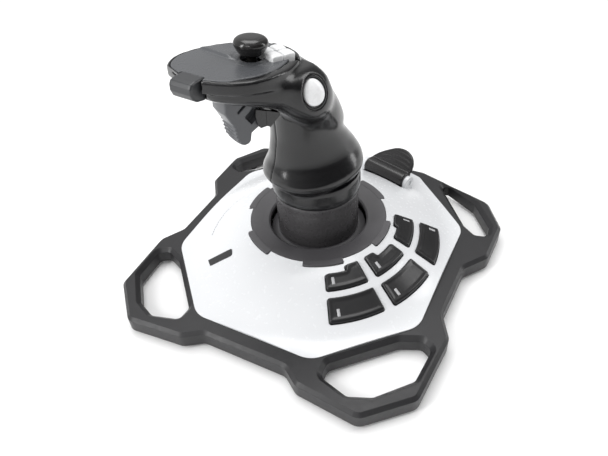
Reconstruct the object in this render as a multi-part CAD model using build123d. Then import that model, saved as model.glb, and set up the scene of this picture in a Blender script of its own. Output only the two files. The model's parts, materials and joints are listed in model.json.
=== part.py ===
from build123d import *
import math
import os

# Flight joystick. Millimetres, +Z up, origin on the table under the stick
# axis, +Y towards the front of the base (away from the user), +X to the
# user's right.  The control group (gimbal, stick, handle) is designed in its
# own frame, forward = local +Y, and is turned by CONTROL_YAW about the axis.

# ---------------------------------------------------------------- driving sizes
FOOT_H = 2.5            # rubber feet under the base
FLOOR_Z = 5.0           # upper face of the bottom cover
FRAME_TOP = 12.5        # top of the base frame at the deck edge
RING_Z = 33.6           # deck height at the rim of the collar ring
RING_SEAT_Z = 30.4      # ledge that carries the collar ring
DECK_WALL = 2.2
RING_R = 42.0           # collar ring between its tabs
TAB_R = 45.0            # collar ring over its tabs
RING_HOLE_R = 30.0      # opening the boot moves in
CONTROL_YAW = -27.0     # handle and gimbal turned clockwise on the base
PIVOT_Z = 25.0          # gimbal centre
BOOT_R = 25.0           # round boot under the handle
BOOT_WALL = 2.2
BOOT_BOTTOM = PIVOT_Z + 3.0
BOOT_TOP = 57.0
GRIP_Z = BOOT_TOP + 0.6  # lower edge of the handle
SHAFT_R = 5.0           # steel stick shaft
SHAFT_TOP = 86.0
RUN = 0.05              # radial running clearance of every pin
PIN_R = 2.0             # gimbal pins and throttle axle
PIN_HOLE_R = PIN_R + RUN
BOARD_T = 1.6           # every circuit board

os.makedirs("parts", exist_ok=True)


# ---------------------------------------------------------------- helpers
def save(name, shape):
    export_step(shape, "parts/%s.step" % name)


def group(items):
    return Compound(children=list(items))


def yawed(shape):
    return Rot(0, 0, CONTROL_YAW) * shape


def save_control(name, shape):
    """Save a shape that is designed in the frame of the control group."""
    save(name, yawed(shape))


def rod(start, end, radius):
    axis = Vector(*end) - Vector(*start)
    bottom = (Align.CENTER, Align.CENTER, Align.MIN)
    return Plane(origin=start, z_dir=axis) * Cylinder(radius, axis.length, align=bottom)


def x_rod(x_from, x_to, y, z, radius):
    return rod((x_from, y, z), (x_to, y, z), radius)


def y_rod(y_from, y_to, x, z, radius):
    return rod((x, y_from, z), (x, y_to, z), radius)


def z_rod(z_from, z_to, x, y, radius):
    return rod((x, y, z_from), (x, y, z_to), radius)


def block(x_from, x_to, y_from, y_to, z_from, z_to):
    """Box between two x values in either order, and rising y and z values."""
    centre = Pos((x_from + x_to) / 2, (y_from + y_to) / 2, (z_from + z_to) / 2)
    return centre * Box(abs(x_to - x_from), y_to - y_from, z_to - z_from)


def ring(inner, outer, z_from, z_to):
    height = z_to - z_from
    tube = Cylinder(outer, height) - Cylinder(inner, height + 2)
    return Pos(0, 0, (z_from + z_to) / 2) * tube


def coil(start, axis, radius, wire, pitch, turns):
    path = Plane(origin=start, z_dir=axis) * Helix(pitch, pitch * turns, radius)
    return sweep(Plane(origin=path @ 0, z_dir=path % 0) * Circle(wire), path=path)


def upright(face, z_from, z_to):
    return Pos(0, 0, z_from) * extrude(face, z_to - z_from, dir=(0, 0, 1))


def lines(*points):
    return [Line(start, end) for start, end in zip(points, points[1:])]


def yz(points):
    return [(0, y, z) for y, z in points]


def yz_face(points):
    return make_face(Polyline(*yz(points), close=True))


def lathe(points):
    """Solid of revolution about Z from (radius, z) points."""
    return revolve(make_face(Polyline(*[(r, 0, z) for r, z in points], close=True)), Axis.Z)


def mirrored(points):
    """Close a right-hand half outline with its mirror image in x."""
    return points + [(-x, y) for x, y in reversed(points)]


def doubled_area(points):
    """Twice the area of a polygon, positive when it runs anticlockwise."""
    following = points[1:] + points[:1]
    return sum(x * next_y - next_x * y for (x, y), (next_x, next_y) in zip(points, following))


def rounded(points, radius):
    """Face of a polygon, corners rounded to radius or as far as the sides allow."""
    if doubled_area(points) < 0:
        points = points[::-1]
    count = len(points)
    corners = []
    for i in range(count):
        corner = Vector(*points[i], 0)
        back = Vector(*points[i - 1], 0) - corner
        ahead = Vector(*points[(i + 1) % count], 0) - corner
        shortest = min(back.length, ahead.length)
        back, ahead = back.normalized(), ahead.normalized()
        half_angle = math.acos(max(-1.0, min(1.0, back.dot(ahead)))) / 2
        cut = min(radius / math.tan(half_angle), 0.47 * shortest)
        fitted = cut * math.tan(half_angle)
        bisector = (back + ahead).normalized()
        middle = corner + bisector * (fitted / math.sin(half_angle) - fitted)
        corners.append((corner + back * cut, middle, corner + ahead * cut))
    edges = []
    for i in range(count):
        edges.append(ThreePointArc(*corners[i]))
        edges.append(Line(corners[i][2], corners[(i + 1) % count][0]))
    return make_face(Wire(edges))


def grown(points, distance):
    """Polygon with every side moved out by distance."""
    outward = 1.0 if doubled_area(points) > 0 else -1.0
    moved = []
    for i in range(len(points)):
        corner = Vector(*points[i], 0)
        arriving = (corner - Vector(*points[i - 1], 0)).normalized()
        leaving = (Vector(*points[(i + 1) % len(points)], 0) - corner).normalized()
        along = arriving + leaving
        normal = Vector(along.Y, -along.X, 0) * outward
        shifted = corner + normal * (distance / (0.5 * normal.length ** 2))
        moved.append((shifted.X, shifted.Y))
    return moved


def polar(radius, angle):
    return (radius * math.cos(math.radians(angle)), radius * math.sin(math.radians(angle)), 0)


def arc(radius, start, end):
    return ThreePointArc(polar(radius, start), polar(radius, (start + end) / 2),
                         polar(radius, end))


def hatch(inner, outer, start, end, z_from=0.0, z_to=60.0, grow=0.0, step=None):
    """Annular sector with rounded corners, widened by grow.

    step=(angle, radius, low_side): the inner edge moves to radius on the
    low-angle side of angle, or on its high-angle side if low_side is False.
    """
    low = high = inner
    if step is None:
        inner_edge = [arc(inner, end, start)]
    else:
        step_angle, step_radius, low_side = step
        if low_side:
            low = step_radius
        else:
            high = step_radius
        inner_edge = [arc(high, end, step_angle),
                      Line(polar(high, step_angle), polar(low, step_angle)),
                      arc(low, step_angle, start)]
    face = make_face(Wire([arc(outer, start, end), Line(polar(outer, end), polar(high, end)),
                           *inner_edge, Line(polar(low, start), polar(outer, start))]))
    face = fillet(face.vertices(), 1.1)
    if grow:
        face = offset(face, grow, kind=Kind.ARC)
    return upright(face, z_from, z_to)


# ---------------------------------------------------------------- base outlines
# Outlines are (x, y); EDGE is the deck edge, OUTLINE the base frame.
EDGE = mirrored([(36.75, 86.0), (81.0, 41.8), (81.0, -45.3), (34.8, -91.5)])
OUTLINE = mirrored([
    (26.0, 95.0), (36.0, 102.0), (72.0, 105.2), (94.8, 83.5), (98.0, 41.5), (90.0, 27.0),
    (91.0, -13.0), (102.0, -28.0), (103.0, -58.0), (89.5, -80.0), (39.0, -97.0)])
FRONT_HOLE = [
    (45.5, 91.5), (45.0, 82.5), (74.0, 53.5), (85.5, 48.5),
    (91.6, 52.0), (89.8, 73.5), (74.0, 91.0), (62.0, 96.0)]
REAR_HOLE = [
    (55.5, -85.5), (59.0, -89.6), (81.5, -76.0), (95.8, -56.0),
    (96.6, -47.5), (89.5, -45.5), (80.5, -52.0), (66.0, -71.5)]
# deck surface: radius and height from the collar ring to the corners
DECK_PROFILE = [
    (36.0, 35.4), (RING_R, RING_Z), (50.0, 30.7), (60.0, 26.1), (70.0, 20.9),
    (76.0, 17.8), (81.0, 15.3), (86.0, 13.7), (96.0, 12.9)]


def deck_height(radius):
    for (r0, z0), (r1, z1) in zip(DECK_PROFILE, DECK_PROFILE[1:]):
        if radius <= r1:
            return z0 + (z1 - z0) * (radius - r0) / (r1 - r0)
    return DECK_PROFILE[-1][1]


def octagon(inset, z_from, z_to):
    """Prism of the deck edge moved in by inset."""
    return upright(rounded(grown(EDGE, -inset), 15.0 - 0.5 * inset), z_from, z_to)


def deck_solid(drop, inset, z_low):
    """Everything under the deck surface lowered by drop, inside the edge, down to z_low."""
    top = Spline(*[(r, 0, z - drop) for r, z in DECK_PROFILE])
    start, end = top @ 0, top @ 1
    sides = lines(end, (end.X, 0, z_low), (0, 0, z_low), (0, 0, start.Z), start)
    return revolve(make_face(Wire([top, *sides])), Axis.Z) & octagon(inset, z_low, 60.0)


# ---------------------------------------------------------------- base frame
CABLE_X = 22
CABLE_Z = 7.4
CABLE_R = 2.0
HOLE_R = 4.0            # corner radius of the frame holes
HOLE_FLARE = 2.6        # sloped upper rim of the frame holes, both width and depth

frame = upright(rounded(OUTLINE, 7.0), FOOT_H, FRAME_TOP)
frame = chamfer(frame.edges().group_by(Axis.Z)[-1], 2.0)
for outline in (FRONT_HOLE, REAR_HOLE):
    for side in (1, -1):
        hole = [(side * x, y) for x, y in outline]
        frame -= upright(rounded(hole, HOLE_R), FOOT_H - 1, FOOT_H + 19)
        frame -= loft([Pos(0, 0, FRAME_TOP - HOLE_FLARE) * rounded(hole, HOLE_R),
                       Pos(0, 0, FRAME_TOP + 0.001) * rounded(grown(hole, HOLE_FLARE), 6.0)])
# deck seat, centre opening and cover seat
frame -= octagon(4.0, 8.0, 40.0)
frame -= octagon(12.0, 0.0, 9.0)
frame -= octagon(4.0, 0.0, FLOOR_Z)
# cable notch in the rear wall
frame -= y_rod(-75, -110, CABLE_X, CABLE_Z, 3.2)
save("base_frame", frame)

# ---------------------------------------------------------------- cover, feet, screws
# screw towers of the deck (x, y)
LEFT_TOWERS = [(-60, 30), (-62, -35)]
FRONT_TOWER = (0, 66)
TOWERS = [(60, 30), LEFT_TOWERS[0], (60, -35), LEFT_TOWERS[1], FRONT_TOWER, (30, -74)]
TOWER_R = 3.6
TOWER_CLEAR_R = 4.2     # board notches round the towers
SCREW_R = 1.45
SCREW_SEAT_Z = 4.1
MAIN_BOARD_Z = 9.0
BUTTON_BOARD_Z = 8.3
# board pillars (x, y, top)
PILLARS = [(x, y, MAIN_BOARD_Z) for x, y in [(-14, 40), (25, 40), (-14, 64), (25, 64)]]
PILLARS += [(x, y, BUTTON_BOARD_Z) for x, y in [(-62, 3), (-48, -27), (-38, 46)]]
# feet (x, y, radius)
FEET = [
    (85.4, 85.4, 3.6), (-85.4, 85.4, 3.6), (92.6, -67.4, 2.8), (-92.6, -67.4, 2.8),
    (36, 76, 7.0), (-36, 76, 7.0), (40, -70, 7.0), (-44, -68, 7.0)]

cover = octagon(4.2, FOOT_H, FLOOR_Z)
for x, y in TOWERS:
    cover -= z_rod(0, 6, x, y, 1.7)
    cover -= z_rod(2.4, SCREW_SEAT_Z, x, y, 3.3)
for x, y, top in PILLARS:
    cover += z_rod(4.5, top, x, y, 3.0)
save("bottom_cover", cover)
save("rubber_feet", group([z_rod(0, FOOT_H, x, y, radius) for x, y, radius in FEET]))
save("cover_screws", group([
    z_rod(2.6, SCREW_SEAT_Z, x, y, 3.0) + z_rod(SCREW_SEAT_Z, 13.0, x, y, SCREW_R)
    for x, y in TOWERS]))

# ---------------------------------------------------------------- top deck
RING_GAP = 0.25         # radial gap round the collar ring
TAB_HALF_ANGLE = 15.0
TAB_ANGLES = [60 * k for k in range(6)]

# throttle frame: local x along the axle, local y outward from the stick
THROTTLE_ANGLE = 252.0
THROTTLE_CENTRE = (-18.0, -73.2, 22.0)   # middle of the axle
DRUM_R = 5.8
DRUM_HALF = 16.5
CHEEK_R = 4.4
slot_half = DRUM_HALF + 0.6
outward_x, outward_y, _ = polar(1.0, THROTTLE_ANGLE)
throttle_plane = Plane(origin=THROTTLE_CENTRE, x_dir=(outward_y, -outward_x, 0),
                       z_dir=(0, 0, 1))

# base buttons: inner radius, outer radius, start angle, end angle, inner step
BUTTONS = {
    "base_button_front_inner": (46.8, 58.6, 120.5, 144.5, (134.5, 50.0, True)),
    "base_button_middle_inner": (46.6, 58.6, 150.5, 174.5, (159.0, 49.8, False)),
    "base_button_rear_inner": (47.2, 59.0, 181.0, 204.5, (192.0, 49.6, True)),
    "base_button_front_outer": (62.8, 75.0, 120.5, 145.0, None),
    "base_button_middle_outer": (63.0, 75.2, 150.0, 174.5, None),
    "base_button_rear_outer": (63.4, 75.4, 181.0, 205.0, None),
}
BUTTON_PROUD = 1.9      # base buttons above the deck
BUTTON_GAP = 0.45

PLAQUE_LENGTH, PLAQUE_WIDTH = 20.0, 5.0
plaque_plane = Plane(origin=(44.3, 51.0, 0), x_dir=polar(1.0, 32.6), z_dir=(0, 0, 1))


def plaque_prism(extra, radius):
    outline = Rectangle(PLAQUE_LENGTH + extra, PLAQUE_WIDTH + extra)
    return plaque_plane * upright(fillet(outline.vertices(), radius), 20, 50)


deck = deck_solid(0.0, 0.0, FRAME_TOP) - deck_solid(DECK_WALL, DECK_WALL, FRAME_TOP - 1.0)
# skirt that drops into the frame
deck += octagon(4.2, 8.0, FRAME_TOP + 0.6) - octagon(6.4, 7.0, FRAME_TOP + 2.0)
# ledge and recess of the collar ring
deck += ring(37.5, 46.0, 28.0, RING_SEAT_Z)
deck -= Pos(0, 0, RING_SEAT_Z + 9.6) * Cylinder(RING_R + RING_GAP, 19.2)
for angle in TAB_ANGLES:
    half = TAB_HALF_ANGLE + 0.5
    deck -= hatch(36.0, TAB_R + RING_GAP, angle - half, angle + half, RING_SEAT_Z, 40.0)
deck -= Pos(0, 0, 20) * Cylinder(37.5, 60)
# screw towers
for x, y in TOWERS:
    deck += z_rod(5.2, deck_height(math.hypot(x, y) + TOWER_R) - 1.0, x, y, TOWER_R)
for x, y in TOWERS:
    deck -= z_rod(4.0, 14.0, x, y, SCREW_R)
# throttle slot and its two cheeks
for side in (1, -1):
    near, far = side * slot_half, side * (DRUM_HALF + 3.4)
    cheek = block(near, far, -CHEEK_R, CHEEK_R, -9.0, 0.0) + x_rod(near, far, 0, 0, CHEEK_R)
    deck += throttle_plane * cheek
deck -= throttle_plane * block(-slot_half, slot_half, -DRUM_R - 0.7, DRUM_R + 0.7, -12, 20)
for side in (1, -1):
    deck -= throttle_plane * x_rod(side * DRUM_HALF, side * (DRUM_HALF + 5), 0, 0, PIN_HOLE_R)
# cable passage
deck -= y_rod(-80, -87.4, CABLE_X, CABLE_Z, 2.6)
for inner, outer, start, end, step in BUTTONS.values():
    deck -= hatch(inner, outer, start, end, 14.5, 60.0, grow=BUTTON_GAP, step=step)
# plaque recess
deck -= plaque_prism(0.2, 1.3) & (
    deck_solid(-2.0, 0.0, FRAME_TOP) - deck_solid(0.85, 0.0, FRAME_TOP - 1))
# keep the deck itself, without loose offcuts
deck = sorted(deck.solids(), key=lambda solid: solid.volume)[-1]
save("top_deck", deck)
save("badge_plaque", plaque_prism(0.0, 1.2) & (
    deck_solid(-0.35, 0.0, FRAME_TOP) - deck_solid(0.8, 0.0, FRAME_TOP - 1)))

# ---------------------------------------------------------------- collar ring
COLLAR_TOP = RING_Z + 0.1
collar = lathe([
    (RING_HOLE_R, 29.6), (37.0, RING_SEAT_Z), (RING_R, RING_SEAT_Z), (RING_R, COLLAR_TOP),
    (RING_HOLE_R + 1.0, 32.4), (RING_HOLE_R, 31.6)])
for angle in TAB_ANGLES:
    tab = hatch(38.0, TAB_R, angle - TAB_HALF_ANGLE, angle + TAB_HALF_ANGLE,
                RING_SEAT_Z, COLLAR_TOP)
    collar += tab - Pos(0, 0, 33) * Cylinder(41.0, 12)
save("collar_ring", collar)

# ---------------------------------------------------------------- base buttons and boards
button_skin = deck_solid(-BUTTON_PROUD, 0.0, FRAME_TOP)
button_hollow = deck_solid(1.3, 0.0, FRAME_TOP - 2)
switch_bottom = BUTTON_BOARD_Z + BOARD_T
switches = []
for name, (inner, outer, start, end, step) in BUTTONS.items():
    cap = hatch(inner, outer, start, end, step=step) & (button_skin - button_hollow)
    middle = ((step[1] if step else inner) + outer) / 2
    x, y, _ = polar(middle, (start + end) / 2)
    save(name, cap + z_rod(15.8, deck_height(middle) + 0.2, x, y, 2.2))
    switches.append(block(x - 3, x + 3, y - 3, y + 3, switch_bottom, 14.1))
save("base_button_switches", group(switches))

button_board = hatch(44.0, 73.0, 119.0, 206.0, BUTTON_BOARD_Z, switch_bottom)
for x, y in LEFT_TOWERS:
    button_board -= z_rod(0, 40, x, y, TOWER_CLEAR_R)
save("button_circuit_board", button_board)

main_board_top = MAIN_BOARD_Z + BOARD_T
main_board = block(-18, 29, 36, 68, MAIN_BOARD_Z, main_board_top)
main_board -= z_rod(0, 30, *FRONT_TOWER, TOWER_CLEAR_R)
main_board += block(-8, 8, 44, 54, main_board_top, 12.4)
for x in (-12, -4, 14, 22):
    main_board += block(x - 2.5, x + 2.5, 56, 60, main_board_top, 15.0)
save("main_circuit_board", main_board)
save("ballast_plates", group([block(35, 54, -34, 24, FLOOR_Z, 9.0),
                              block(-36, 6, -64, -46, FLOOR_Z, 9.0)]))

# cable, cut short behind the rear wall
BEND_Y = -80
relief = y_rod(-87.6, -99.0, CABLE_X, CABLE_Z, 3.0)
relief -= y_rod(-80, -120, CABLE_X, CABLE_Z, CABLE_R)
save("cable_strain_relief", relief)
bend = (CABLE_X, BEND_Y, CABLE_Z)
cable = y_rod(-104.937, BEND_Y, CABLE_X, CABLE_Z, CABLE_R)
cable = cable + rod(bend, (16, -58, CABLE_Z), CABLE_R) + Pos(*bend) * Sphere(CABLE_R)
save("usb_cable", cable)

# ---------------------------------------------------------------- throttle
PADDLE_HALF_T = 1.9
# ribs across the paddle: x centre and length, from the drum outward
RIBS = [(0.8, 25.0), (0.8, 25.0), (3.2, 21.0), (3.2, 15.0), (3.2, 6.0)]
RIB_START, RIB_PITCH, RIB_R = 8.6, 2.3, 0.55
# outer edge of the paddle, (x, y)
PADDLE_CURVE = [(-7.0, 15.2), (-1.0, 18.8), (6.0, 19.8), (12.6, 17.2), (16.4, 11.4), (16.4, 6.5)]

paddle = extrude(make_face(Wire([
    *lines((-16.4, 2.0, 0), (-15.6, 7.2, 0), (-7.0, 15.2, 0)),
    Spline(*[(x, y, 0) for x, y in PADDLE_CURVE], tangents=((0.74, 0.68, 0), (-0.15, -1, 0))),
    *lines((16.4, 6.5, 0), (16.4, 2.0, 0), (-16.4, 2.0, 0))])), PADDLE_HALF_T, both=True)
for i, (x, length) in enumerate(RIBS):
    rib = Rot(0, 90, 0) * Cylinder(RIB_R, length)
    paddle += Pos(x, RIB_START + RIB_PITCH * i, PADDLE_HALF_T) * rib
lever = x_rod(-DRUM_HALF, DRUM_HALF, 0, 0, DRUM_R) + Rot(45, 0, 0) * paddle
lever -= x_rod(-DRUM_HALF - 1, DRUM_HALF + 1, 0, 0, PIN_R)
# pocket for the potentiometer
lever -= x_rod(9.0, DRUM_HALF + 1, 0, 0, 5.2)
save("throttle_lever", throttle_plane * lever)
save("throttle_axle", throttle_plane * x_rod(-DRUM_HALF - 3.0, DRUM_HALF + 3.0, 0, 0, PIN_R))
save("throttle_potentiometer", throttle_plane * (
    x_rod(9.6, slot_half, 0, 0, 4.9) - x_rod(9, 19, 0, 0, PIN_HOLE_R)))

# ---------------------------------------------------------------- gimbal
BRACKET_TOP = 8.0       # upper face of the bracket's base plate
POST_IN, POST_OUT = 11.0, 14.0
POST_R = 5.0
YOKE_X, YOKE_Y = 10, 12  # outer half sizes
YOKE_HOLE_X, YOKE_HOLE_Y = 7, 8
STEM_R = 2.5            # lower end of the shaft, set in the stick block
STEM_BOTTOM = PIVOT_Z + 2.6
BLOCK_HALF = 5          # stick block, half width and half height
BRACKET_HOLES = [(x, y) for x in (-17, 17) for y in (-11, 11)]
BRACKET_SCREW_R = 1.3

bracket = block(-20, 20, -14, 14, FLOOR_Z, BRACKET_TOP)
for side in (1, -1):
    near, far = side * POST_IN, side * POST_OUT
    post = (block(near, far, -POST_R, POST_R, BRACKET_TOP, PIVOT_Z)
            + x_rod(near, far, 0, PIVOT_Z, POST_R))
    bracket += post - x_rod(side * 10, side * 15, 0, PIVOT_Z, PIN_HOLE_R)
for x, y in BRACKET_HOLES:
    bracket -= z_rod(4, 9, x, y, BRACKET_SCREW_R)
save_control("gimbal_bracket", bracket)
save("bracket_screws", group([
    yawed(z_rod(BRACKET_TOP, 9.6, x, y, 2.4) + z_rod(5.2, BRACKET_TOP, x, y, BRACKET_SCREW_R))
    for x, y in BRACKET_HOLES]))

# pitch axis, along local x
save_control("pitch_potentiometer", x_rod(POST_OUT, 18.5, 0, PIVOT_Z, 7.0)
             - x_rod(13, 20, 0, PIVOT_Z, PIN_HOLE_R))
save_control("pitch_spring", coil((-14.9, 0, PIVOT_Z), (-1, 0, 0),
                                  radius=3.6, wire=0.6, pitch=1.4, turns=2.0))
yoke = (block(-YOKE_X, YOKE_X, -YOKE_Y, YOKE_Y, PIVOT_Z - 4, PIVOT_Z + 4)
        - block(-YOKE_HOLE_X, YOKE_HOLE_X, -YOKE_HOLE_Y, YOKE_HOLE_Y, PIVOT_Z - 5, PIVOT_Z + 5))
yoke -= x_rod(-YOKE_X - 1, YOKE_X + 1, 0, PIVOT_Z, PIN_R)
yoke -= y_rod(-YOKE_Y - 1, YOKE_Y + 1, 0, PIVOT_Z, PIN_HOLE_R)
save_control("pitch_yoke", yoke)
save("pitch_pins", group([yawed(x_rod(YOKE_HOLE_X, 18.2, 0, PIVOT_Z, PIN_R)),
                          yawed(x_rod(-18.8, -YOKE_HOLE_X, 0, PIVOT_Z, PIN_R))]))

# roll axis, along local y
save_control("roll_potentiometer", y_rod(YOKE_Y, 16.0, 0, PIVOT_Z, 6.0)
             - y_rod(11, 17, 0, PIVOT_Z, PIN_HOLE_R))
save_control("roll_spring", coil((0, -12.9, PIVOT_Z), (0, -1, 0),
                                 radius=3.4, wire=0.6, pitch=1.4, turns=2.0))
save_control("roll_pin", y_rod(-16.4, 15.8, 0, PIVOT_Z, PIN_R))

# ---------------------------------------------------------------- stick and boot
stick_block = block(-BLOCK_HALF, BLOCK_HALF, -7.5, 7.5,
                    PIVOT_Z - BLOCK_HALF, PIVOT_Z + BLOCK_HALF)
stick_block = stick_block - y_rod(-8, 8, 0, PIVOT_Z, PIN_R)
stick_block -= z_rod(STEM_BOTTOM, PIVOT_Z + 6, 0, 0, STEM_R)
save_control("stick_block", stick_block)

TWIST_PIN_R = 3.0       # thin upper end of the shaft
shaft = z_rod(PIVOT_Z + BLOCK_HALF, SHAFT_TOP, 0, 0, SHAFT_R)
shaft += z_rod(STEM_BOTTOM, PIVOT_Z + BLOCK_HALF, 0, 0, STEM_R)
shaft += z_rod(SHAFT_TOP, SHAFT_TOP + 5.5, 0, 0, TWIST_PIN_R)
save("stick_shaft", shaft)

# boot: a round sleeve with a top disc and a hub on the shaft
sleeve = ring(BOOT_R - BOOT_WALL, BOOT_R, BOOT_BOTTOM, BOOT_TOP)
sleeve += ring(SHAFT_R, BOOT_R - 1, BOOT_TOP - BOOT_WALL, BOOT_TOP)
sleeve += ring(SHAFT_R, 9.0, 42.0, BOOT_TOP)
save("boot_sleeve", sleeve)


def around_pivot(radius, angle):
    """(radius, z) point on a sphere about the pivot, angle measured from +Z."""
    angle = math.radians(angle)
    return (radius * math.sin(angle), PIVOT_Z + radius * math.cos(angle))


# skirt under the boot that closes the opening, spherical about the pivot
save("dust_skirt", lathe([
    (BOOT_R - BOOT_WALL, PIVOT_Z + 1.2), (BOOT_R - BOOT_WALL, BOOT_BOTTOM),
    (BOOT_R + 0.6, BOOT_BOTTOM),
    *[around_pivot(29.4, angle) for angle in (87.0, 90.0, 94.0, 98.0, 101.0)],
    *[around_pivot(28.2, angle) for angle in (101.0, 98.0, 94.0, 90.5)]]))

# ---------------------------------------------------------------- handle core
CORE_Z = GRIP_Z + 2.6
COLLAR_Z = GRIP_Z + 5.6  # top of the core flange and of the grip collar
core = ring(SHAFT_R + RUN, 8.4, CORE_Z, SHAFT_TOP)
core += ring(SHAFT_R + RUN, 17.0, CORE_Z, COLLAR_Z)
core += ring(8.2, 10.2, SHAFT_TOP - 8, SHAFT_TOP + 0.4)
core += ring(7.0, 10.2, SHAFT_TOP - 3, SHAFT_TOP)
save("handle_core", core)
save("twist_potentiometer", ring(TWIST_PIN_R + RUN, 8.0, SHAFT_TOP + 0.4, SHAFT_TOP + 5.2))
save_control("grip_collar", ring(17.0, 26.0, GRIP_Z + 2.0, COLLAR_Z)
             + ring(24.6, 26.4, GRIP_Z, GRIP_Z + 2.4))

# ---------------------------------------------------------------- handle shapes
# grip column: level, centre forward, half width, half depth
COLUMN = [
    (GRIP_Z + 5.8, 1.6, 26.0, 27.2), (69.0, 2.8, 24.2, 27.4), (75.0, 1.3, 23.0, 28.6),
    (83.0, 1.0, 21.0, 27.4), (91.0, 3.0, 18.6, 23.4), (100.0, 5.0, 17.5, 19.2),
    (113.0, 7.0, 18.2, 17.6), (127.0, 12.0, 18.0, 14.0)]
# head: distance forward, underside, top, half width, offset to the right
HEAD = [
    (-13.0, 100.0, 107.0, 8.0, 0.0), (-6.5, 99.0, 121.0, 14.5, 0.0),
    (3.0, 104.0, 136.5, 19.6, -0.6), (13.0, 111.0, 142.6, 22.6, -1.2),
    (25.0, 120.0, 143.8, 23.6, -0.8), (42.0, 130.0, 145.2, 22.8, 0.6),
    (59.5, 136.0, 146.8, 16.4, 2.2)]
# tunnel up the grip: level, centre forward, half width, half depth
TUNNEL = [
    (GRIP_Z + 5.7, 0.9, 22.6, 24.0), (75.0, 1.6, 20.0, 25.4), (88.0, 2.6, 16.4, 21.6),
    (101.0, 5.0, 14.6, 15.8), (118.0, 9.0, 15.0, 13.6)]
# chamber in the head (y, z), CHAMBER_HALF to each side
CHAMBER = [
    (-4.0, 108.0), (4.0, 108.5), (13.0, 114.5), (25.0, 123.5), (42.0, 133.0), (56.5, 137.8),
    (56.5, 160.0), (19.5, 160.0), (19.5, 141.0), (9.5, 138.6), (3.0, 131.0), (-4.0, 118.0)]
CHAMBER_HALF = 13.6
# trigger housing (y, z)
HOUSING = [(25.7, 117.6), (25.9, 118.9), (33.4, 122.8), (33.9, 114.6), (31.9, 113.2)]
HOUSING_HALF = 8.9

PLATE_SLOPE = 5.7       # head plate rises to the front, degrees
PLATE_T = 2.8
HAT_FORWARD = 33.0      # hat switch centre, forward of the axis
HAT_PLATE_Z = 146.6     # head plate top at the hat switch
slope = math.radians(PLATE_SLOPE)
plate_plane = Plane(origin=(0, HAT_FORWARD, HAT_PLATE_Z), x_dir=(1, 0, 0),
                    z_dir=(0, -math.sin(slope), math.cos(slope)))
# curved plate outline (right, forward of the hat) on the sloping plane
PLATE = [
    (5.4, 37.4), (13.0, 36.6), (19.6, 31.5), (23.8, 24.0), (25.6, 11.0), (23.6, -2.0),
    (16.0, -16.0), (6.5, -22.8), (-6.5, -22.6), (-14.8, -16.0), (-21.4, -5.0),
    (-24.0, 9.0), (-21.6, 19.5), (-14.4, 27.0)]
# right front corner of the head under the plate, same axes
CORNER = [(5.6, 24.0), (19.6, 24.0), (19.0, 30.0), (12.8, 35.6), (5.6, 36.4)]

TRIGGER_Y, TRIGGER_Z = 44.0, 137.0       # trigger pin
TRIGGER_PIN_R = 1.5
TRIGGER_PIN_HALF = 15.0

# side button frame: local x forward, local z out of the left side of the head
side_plane = Plane(origin=(-22.6, 15.0, 131.5), x_dir=(0, 1, 0), z_dir=(-0.93, 0.0, 0.37))


def side_oval(half_width):
    return Ellipse(half_width, half_width + 0.9)


def superellipse(half_x, half_y, exponent):
    """Twelve (x, y) points round a superellipse."""
    points = []
    for i in range(12):
        angle = 2 * math.pi * i / 12
        cosine, sine = math.cos(angle), math.sin(angle)
        points.append((math.copysign(abs(cosine) ** (2 / exponent), cosine) * half_x,
                       math.copysign(abs(sine) ** (2 / exponent), sine) * half_y))
    return points


def smooth_face(points):
    return make_face(Spline(*points, periodic=True))


def grip_column():
    return loft([
        smooth_face([(x, y + forward, level)
                     for x, y in superellipse(half_width, half_depth, 2.2)])
        for level, forward, half_width, half_depth in COLUMN])


def grip_head():
    sections = []
    for forward, under, top, half_width, right in HEAD:
        outline = superellipse(half_width, (top - under) / 2, 2.4)
        centre = (under + top) / 2
        sections.append(smooth_face([(x + right, forward, z + centre) for x, z in outline]))
    return loft(sections)


def grip_hollow():
    pieces = [loft([Pos(0, forward, level) * Ellipse(half_width, half_depth)
                    for level, forward, half_width, half_depth in pair], ruled=True)
              for pair in zip(TUNNEL, TUNNEL[1:])]
    hollow = pieces[0]
    for piece in pieces[1:]:
        hollow += piece
    chamber = extrude(yz_face(CHAMBER), 2 * CHAMBER_HALF, dir=(1, 0, 0))
    hollow += Pos(-CHAMBER_HALF, 0, 0) * chamber
    # room for the stems of the rear thumb buttons
    hollow += block(-10.3, 4.3, 13.8, 20.0, 139.0, 160.0)
    return hollow


# ---------------------------------------------------------------- handle shells
solid_grip = grip_column() + grip_head()
solid_grip += plate_plane * upright(rounded(CORNER, 2.6), -8.5, -2.9)
above_plate = plate_plane * (Pos(0, 0, 20 - PLATE_T) * Box(120, 160, 40))
shell = solid_grip - grip_hollow() - above_plate
# bosses for the trigger pin
shell += (x_rod(-14.0, -7.4, TRIGGER_Y, TRIGGER_Z, 3.2)
          + x_rod(11.6, 14.0, TRIGGER_Y, TRIGGER_Z, 3.2))
shell -= x_rod(-TRIGGER_PIN_HALF, TRIGGER_PIN_HALF, TRIGGER_Y, TRIGGER_Z, TRIGGER_PIN_R)
# trigger opening
shell -= block(-7.2, 7.2, 32.4, 57.2, 118, 150)
# recess that the trigger housing sits in
shell -= extrude(yz_face(HOUSING), HOUSING_HALF + 0.02, both=True, dir=(1, 0, 0))
# side button opening
shell -= side_plane * extrude(side_oval(7.5), 11, both=True)
save_control("grip_left_shell", shell & block(-80, 0, -80, 120, 40, 180))
save_control("grip_right_shell", shell & block(0, 80, -80, 120, 40, 180))

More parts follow.
